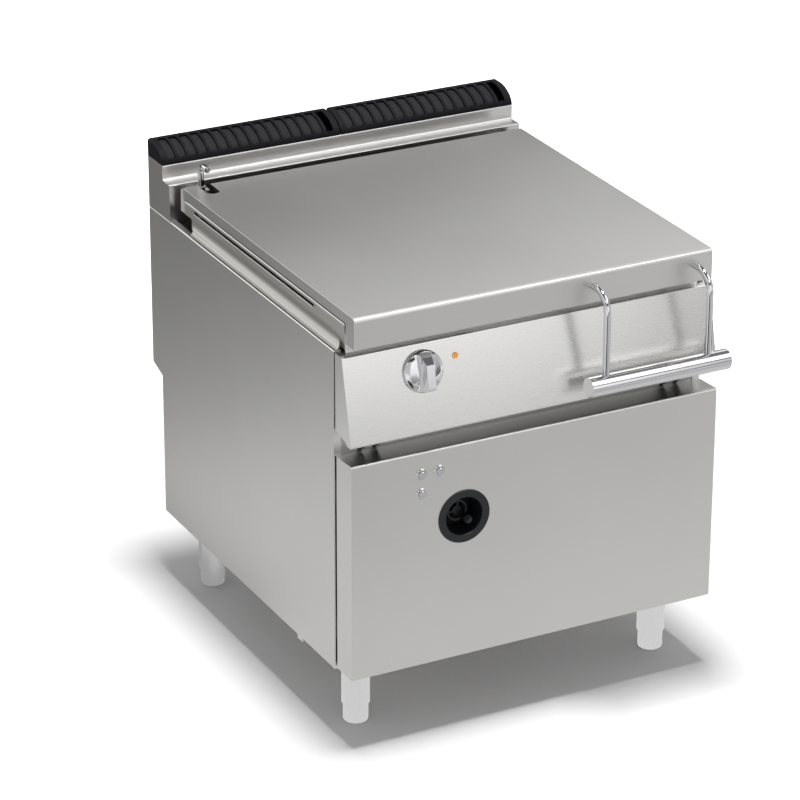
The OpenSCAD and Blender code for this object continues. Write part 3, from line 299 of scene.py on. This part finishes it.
def finish_nodes():
    for name, node in nodes.items():
        finish = NODE_FINISH.get(name) or SLOT_FINISH[SLOT_OF[name]]
        for place in node.material_slots:
            place.link = "OBJECT"
            place.material = materials[finish]


# Pieces that the solids leave out. Their sizes and places are in metres, measured on the solids

def rectangle(across, up):
    """The outline of a rectangle between two pairs of coordinates."""
    return [(across[0], up[0]), (across[1], up[0]), (across[1], up[1]), (across[0], up[1])]


def prism(name, outline, axis, start, end):
    """A closed prism: an outline in the plane across the axis, from start to end along it."""
    corner = {"x": lambda a, b, t: (t, a, b), "y": lambda a, b, t: (a, t, b),
              "z": lambda a, b, t: (a, b, t)}[axis]
    count = len(outline)
    points = [corner(a, b, t) for t in (start, end) for a, b in outline]
    faces = [tuple(range(count)), tuple(range(2 * count - 1, count - 1, -1))]
    faces += [(i, (i + 1) % count, count + (i + 1) % count, count + i) for i in range(count)]
    mesh = bpy.data.meshes.new(name)
    mesh.from_pydata(points, [], faces)
    work = bmesh.new()
    work.from_mesh(mesh)
    bmesh.ops.recalc_face_normals(work, faces=work.faces)
    work.to_mesh(mesh)
    work.free()
    piece = bpy.data.objects.new(name, mesh)
    scene.collection.objects.link(piece)
    return piece


def fit(piece, finish, like):
    """Gives a piece its finish, and the body of the node that carries it."""
    piece.data.materials.append(materials[finish])
    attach(piece, BODY_OF[like])


# The sign of x on each side
SIDES = {"left": -1, "right": 1}

# Each grille's curved top: the half axes of its arc, its wall, and the place of the arc's centre
GRILLE_DEEP = 0.070
GRILLE_HIGH = 0.036
GRILLE_WALL = 0.0045
GRILLE_REAR = 0.4815
COLUMN_TOP = 0.919

# The left end of each grille, and its screen: thickness, ends from there, and part of the arc in degrees
GRILLE_LEFT = {"left": -0.4, "right": 0.0}
SCREEN_T = 0.0008
SCREEN_SPAN = (0.006, 0.371)
ARC_START = 6
ARC_END = 84
ARC_STEPS = 14


def arc_points(half_y, half_z):
    """Points on an arc under the grille's top, from its low front edge to its top at the rear."""
    angles = [math.radians(ARC_START + (ARC_END - ARC_START) * i / ARC_STEPS) for i in range(ARC_STEPS + 1)]
    return [(GRILLE_REAR - half_y * math.cos(a), COLUMN_TOP + half_z * math.sin(a)) for a in angles]


def grille_screens():
    """Woven screens under the slots; the right-hand slot of each grille stays open."""
    outer = arc_points(GRILLE_DEEP - GRILLE_WALL, GRILLE_HIGH - GRILLE_WALL)
    inner = arc_points(GRILLE_DEEP - GRILLE_WALL - SCREEN_T, GRILLE_HIGH - GRILLE_WALL - SCREEN_T)
    for side, offset in GRILLE_LEFT.items():
        screen = prism("grille_screen_" + side, outer + inner[::-1], "x",
                       offset + SCREEN_SPAN[0], offset + SCREEN_SPAN[1])
        fit(screen, "grille_mesh", "flue_grille_" + side)


# The strip behind the top of the lower front panel: front and rear, foot and top, and half its length
RETURN_Y = (-0.3605, -0.3515)
RETURN_Z = (0.5945, 0.5968)
RETURN_END = 0.397


def door_return():
    """The rear of the lower front panel's flange, turned back to the front rail."""
    strip = prism("door_return", rectangle(RETURN_Y, RETURN_Z), "x", -RETURN_END, RETURN_END)
    fit(strip, "front_steel", "front_panel")


# The seams: from the middle outwards, from front to rear, and from foot to top
SEAM_X = (0.3982, 0.3995)
SEAM_Y = (-0.3548, -0.3527)
SEAM_Z = (0.150, 0.596)


def front_seams():
    """A narrow strip in the gap between each side panel and the lower front panel, in pale steel: painted
    light over the shaded gap.
    """
    for side, sign in SIDES.items():
        across = sorted(sign * x for x in SEAM_X)
        seam = prism("front_seam_painted_light_" + side, rectangle(across, SEAM_Y), "z", *SEAM_Z)
        # The paler leg steel stands in for light in the shaded seam: painted light
        fit(seam, "leg_steel", "front_panel")


# The lips: radius, place of the middle line, and ends
LIP_R = 0.0011
LIP_X = 0.3826
LIP_Z = 0.8504
LIP_Y = (-0.2375, 0.2995)
LIP_FACES = 8


def slot_lips():
    """The bright rolled lip along the lower edge of each jacket's slot."""
    angles = [2 * math.pi * i / LIP_FACES for i in range(LIP_FACES)]
    for side, sign in SIDES.items():
        ring = [(sign * LIP_X + LIP_R * math.cos(a), LIP_Z + LIP_R * math.sin(a)) for a in angles]
        lip = prism("slot_lip_" + side, ring, "y", *LIP_Y)
        fit(lip, "lid_steel", "jacket_" + side)


# Rounding of the cut and folded edges: its width in metres, and the angle from which an edge is rounded
SHEET_EASE = 0.0007
EASE_ANGLE = math.radians(30)

# Before it, vertices this close are joined, and faces within this angle of each other
WELD = 1e-5
FLAT_ANGLE = math.radians(0.5)

# The nodes with rounded edges
EASED = ("control_panel", "front_panel", "lid_shell", "side_panel_left", "side_panel_right",
         "flue_housing", "pan_deck", "jacket_left", "jacket_right", "flue_grille_left",
         "flue_grille_right", "control_knob")


def ease_edges():
    """Rounds the cut and folded edges a little, so that they catch the light."""
    for name in EASED:
        node = nodes[name]
        weld = node.modifiers.new("weld", "WELD")
        weld.merge_threshold = WELD
        flat = node.modifiers.new("flat", "DECIMATE")
        flat.decimate_type = "DISSOLVE"
        flat.angle_limit = FLAT_ANGLE
        ease = node.modifiers.new("ease", "BEVEL")
        ease.limit_method = "ANGLE"
        ease.angle_limit = EASE_ANGLE
        ease.width = SHEET_EASE
        ease.segments = 2
        ease.harden_normals = True


# Studio. Metal sees a painted room: the floor, the world and two cards. Its places are in metres

# Half the width of the floor
ROOM = 40


def ramp(tree, value, stops):
    """Grey levels, or the shares of a mask, along a value: stops of (value, grey)."""
    low, high = stops[0][0], stops[-1][0]
    node = tree.nodes.new("ShaderNodeValToRGB")
    place = add(tree, "ShaderNodeMapRange", Value=value, From_Min=low, From_Max=high)
    tree.links.new(place.outputs[0], node.inputs[0])
    while len(node.color_ramp.elements) > 1:
        node.color_ramp.elements.remove(node.color_ramp.elements[-1])
    for i, (at, grey) in enumerate(stops):
        share = (at - low) / (high - low)
        element = node.color_ramp.elements[0] if i == 0 else node.color_ramp.elements.new(share)
        element.position = share
        element.color = (grey, grey, grey, 1)
    return node.outputs[0]


def lobe(tree, toward, aim, low, high):
    """1 round a direction and 0 away from it, fading between two cosines."""
    dot = add(tree, "ShaderNodeVectorMath", _0=toward, _1=aim)
    dot.operation = "DOT_PRODUCT"
    return ramp(tree, dot.outputs["Value"], [(low, 0.0), (high, 1.0)])


def minus(tree, mask, depth):
    """1 less a share of a mask."""
    return math_node(tree, "SUBTRACT", 1.0, times(tree, mask, depth))


def mirror_ray(tree, rays):
    """1 for a ray mirrored by metal or gloss that met no matt surface before, and otherwise 0."""
    no_matt = math_node(tree, "LESS_THAN", rays.outputs["Diffuse Depth"], 0.5)
    return times(tree, rays.outputs["Is Glossy Ray"], no_matt)


def emission(tree, colour):
    return add(tree, "ShaderNodeEmission", Color=colour, Strength=1.0).outputs[0]


# The painted floor's grey from front to rear
FLOOR_ALONG = [(-6.0, 1.0), (-3.0, 0.95), (-2.0, 0.54), (-1.5, 0.6), (-1.1, 0.73), (-0.75, 0.78),
               (-0.1, 0.78), (0.4, 0.82), (0.65, 0.77), (0.95, 0.66), (1.2, 0.44), (1.6, 0.32),
               (2.2, 0.22), (6.0, 0.2)]

# Its areas: stops across, stops from front to rear, and the share of the grey that each of the three takes
REAR_AREA = ([(-0.62, 0.0), (-0.5, 1.0)], [(0.05, 0.0), (0.3, 1.0)], 0.5)
DARK_PATCH = ([(-0.95, 0.0), (-0.8, 1.0), (-0.3, 1.0), (-0.15, 0.0)],
              [(-3.2, 0.0), (-3.0, 1.0), (-1.4, 1.0), (-1.2, 0.0)], 0.92)
RIGHT_AREA = ([(0.85, 0.0), (1.15, 1.0)], [(-0.7, 0.0), (-0.4, 1.0), (3.0, 1.0), (3.5, 0.0)], 0.85)

# The area in front, past both sides of the object, with the grey that it adds
OUTER_AREA = ([(-1.1, 1.0), (-0.95, 0.0), (1.25, 0.0), (1.6, 1.0)], [(-1.0, 1.0), (-0.7, 0.0)], 0.3)


def painted_floor(tree, x, y):
    """What metal sees of the floor: pale far in front, dim far behind, a dark patch for the chrome."""
    masks = [(times(tree, ramp(tree, x, across), ramp(tree, y, along)), share)
             for across, along, share in (REAR_AREA, DARK_PATCH, RIGHT_AREA, OUTER_AREA)]
    rear, patch, right = (minus(tree, mask, share) for mask, share in masks[:3])
    grey = times(tree, ramp(tree, y, FLOOR_ALONG), times(tree, times(tree, rear, patch), right))
    return math_node(tree, "ADD", grey, times(tree, *masks[3]))


# The floor as the camera sees it: its colour, and a tinted glow that ends in white away from the object
FLOOR_COLOUR = (0.9, 0.9, 0.9, 1)
FLOOR_TINT = (1.0, 0.93, 1.0)
FLOOR_GLOW = [(0.0, 0.03), (1.1, 0.03), (1.8, 1.0)]


def make_floor():
    """White floor that keeps the object's shadow; in the metal it shows as a painted gradient."""
    mesh = bpy.data.meshes.new("floor")
    corners = [(-ROOM, -ROOM, 0), (ROOM, -ROOM, 0), (ROOM, ROOM, 0), (-ROOM, ROOM, 0)]
    mesh.from_pydata(corners, [], [(0, 1, 2, 3)])
    floor = bpy.data.objects.new("floor", mesh)
    scene.collection.objects.link(floor)
    material = bpy.data.materials.new("floor")
    material.use_nodes = True
    tree = material.node_tree
    tree.nodes.clear()
    place = add(tree, "ShaderNodeTexCoord").outputs["Object"]
    parts = add(tree, "ShaderNodeSeparateXYZ", _0=place)
    away = add(tree, "ShaderNodeVectorMath", _0=place)
    away.operation = "LENGTH"
    glow = tinted(tree, FLOOR_TINT, ramp(tree, away.outputs["Value"], FLOOR_GLOW))
    diffuse = add(tree, "ShaderNodeBsdfDiffuse", Color=FLOOR_COLOUR).outputs[0]
    seen = add(tree, "ShaderNodeAddShader", _0=diffuse, _1=emission(tree, glow)).outputs[0]
    mirror = emission(tree, painted_floor(tree, parts.outputs["X"], parts.outputs["Y"]))
    rays = add(tree, "ShaderNodeLightPath")
    plain = add(tree, "ShaderNodeMixShader", _0=mirror_ray(tree, rays), _1=diffuse, _2=mirror)
    both = add(tree, "ShaderNodeMixShader", _0=rays.outputs["Is Camera Ray"], _1=plain.outputs[0], _2=seen)
    out = tree.nodes.new("ShaderNodeOutputMaterial")
    tree.links.new(both.outputs[0], out.inputs["Surface"])
    mesh.materials.append(material)


# The world by the height of a direction, from -1 to 1: its light on matt surfaces, and what metal sees
SKY_FILL = [(-1.0, 0.08), (0.0, 0.08), (0.35, 0.2), (1.0, 0.5)]
SKY_PAINT = [(-1.0, 0.8), (0.0, 0.85), (0.3, 0.75), (0.52, 0.8), (0.58, 1.5), (0.66, 1.5), (0.74, 0.2),
             (1.0, 0.2)]

# The dark band that metal sees towards the front: by height, from front to rear, and the share it takes
BAND_HEIGHT = [(0.38, 0.0), (0.42, 1.0), (0.5, 1.0), (0.54, 0.0)]
BAND_FRONT = [(-0.5, 1.0), (-0.2, 0.0)]
BAND_DEPTH = 0.93

# The two bright lobes that metal sees: direction, cosines at the edge and at the core, and levels
REAR_LOBE = ((-0.41, 0.81, 0.42), 0.84, 0.92)
REAR_LOBE_SHARE = 0.35
FRONT_LOBE = ((0.42, -0.46, 0.78), 0.93, 0.97)
LOBE_LEVEL = 2.2


def make_world():
    """The room above the floor: a dim sky for matt surfaces, painted for metal, white for the camera."""
    world = bpy.data.worlds.new("studio")
    scene.world = world
    world.use_nodes = True
    tree = world.node_tree
    tree.nodes.clear()
    toward = add(tree, "ShaderNodeTexCoord").outputs["Generated"]
    parts = add(tree, "ShaderNodeSeparateXYZ", _0=toward)
    rise, back = parts.outputs["Z"], parts.outputs["Y"]
    fill = ramp(tree, rise, SKY_FILL)
    band = times(tree, ramp(tree, rise, BAND_HEIGHT), ramp(tree, back, BAND_FRONT))
    lobes = math_node(tree, "ADD", times(tree, lobe(tree, toward, *REAR_LOBE), REAR_LOBE_SHARE),
                      lobe(tree, toward, *FRONT_LOBE))
    level = math_node(tree, "ADD", ramp(tree, rise, SKY_PAINT), times(tree, lobes, LOBE_LEVEL))
    painted = times(tree, level, minus(tree, band, BAND_DEPTH))
    rays = add(tree, "ShaderNodeLightPath")
    plain = add(tree, "ShaderNodeMixShader", _0=mirror_ray(tree, rays),
                _1=add(tree, "ShaderNodeBackground", Color=fill).outputs[0],
                _2=add(tree, "ShaderNodeBackground", Color=painted).outputs[0])
    both = add(tree, "ShaderNodeMixShader", _0=rays.outputs["Is Camera Ray"], _1=plain.outputs[0],
               _2=add(tree, "ShaderNodeBackground", Color=(1, 1, 1, 1)).outputs[0])
    out = tree.nodes.new("ShaderNodeOutputWorld")
    tree.links.new(both.outputs[0], out.inputs["Surface"])


def card(name, y, span_x, span_z, paint):
    """An upright card across the room that only metal sees, painted by paint(tree, x, z)."""
    (x0, x1), (z0, z1) = span_x, span_z
    mesh = bpy.data.meshes.new(name)
    mesh.from_pydata([(x0, y, z0), (x1, y, z0), (x1, y, z1), (x0, y, z1)], [], [(0, 1, 2, 3)])
    piece = bpy.data.objects.new(name, mesh)
    scene.collection.objects.link(piece)
    material = bpy.data.materials.new(name)
    material.use_nodes = True
    tree = material.node_tree
    tree.nodes.clear()
    parts = add(tree, "ShaderNodeSeparateXYZ", _0=add(tree, "ShaderNodeTexCoord").outputs["Object"])
    grey = paint(tree, parts.outputs["X"], parts.outputs["Z"])
    out = tree.nodes.new("ShaderNodeOutputMaterial")
    tree.links.new(emission(tree, grey), out.inputs["Surface"])
    mesh.materials.append(material)
    piece.visible_camera = piece.visible_diffuse = piece.visible_shadow = False


# The card behind the object: its place, its spans across and up, and its fade by height at x = LID_MIDDLE
REAR_CARD = (2.6, (-0.5, 3.4), (1.2, 3.2))
LID_FADE = [(1.67, 0.0), (3.15, 1.15)]
LID_MIDDLE = 1.5

# How far that fade falls for each metre to the right
LID_SLANT = 0.27

# The card before the object: its place, its spans, and its fades upwards and across
FRONT_CARD = (-2.2, (-0.3, 2.6), (0.25, 1.5))
PANEL_RISE = [(0.3, 0.4), (0.58, 0.6), (0.8, 1.32), (1.2, 1.5)]
PANEL_END = [(1.05, 1.0), (1.5, 0.45)]


def lid_paint(tree, x, z):
    """Brighter upwards and to the right: the lid's fade from rear left to front right."""
    right = math_node(tree, "SUBTRACT", x, LID_MIDDLE)
    return ramp(tree, math_node(tree, "ADD", z, times(tree, right, LID_SLANT)), LID_FADE)


def panel_paint(tree, x, z):
    """Brighter upwards and dimmer at its right-hand end: the control panel's fade."""
    return times(tree, ramp(tree, z, PANEL_RISE), ramp(tree, x, PANEL_END))


def make_cards():
    card("rear_card", *REAR_CARD, lid_paint)
    card("front_card", *FRONT_CARD, panel_paint)


# The one real lamp: high over the object, so that its shadow falls almost straight down
LAMP_PLACE = (0.0, -0.25, 9.0)
LAMP_SIZE = 1.7
LAMP_WATTS = 720


def make_lamp():
    data = bpy.data.lights.new("overhead", "AREA")
    data.shape = "DISK"
    data.size = LAMP_SIZE
    data.energy = LAMP_WATTS
    lamp = bpy.data.objects.new("overhead", data)
    scene.collection.objects.link(lamp)
    lamp.location = LAMP_PLACE
    lamp.visible_camera = False


materials = make_materials()
finish_nodes()
ease_edges()
grille_screens()
door_return()
front_seams()
slot_lips()
make_camera()
make_world()
make_cards()
make_lamp()
make_floor()
scene.view_settings.view_transform = "Standard"
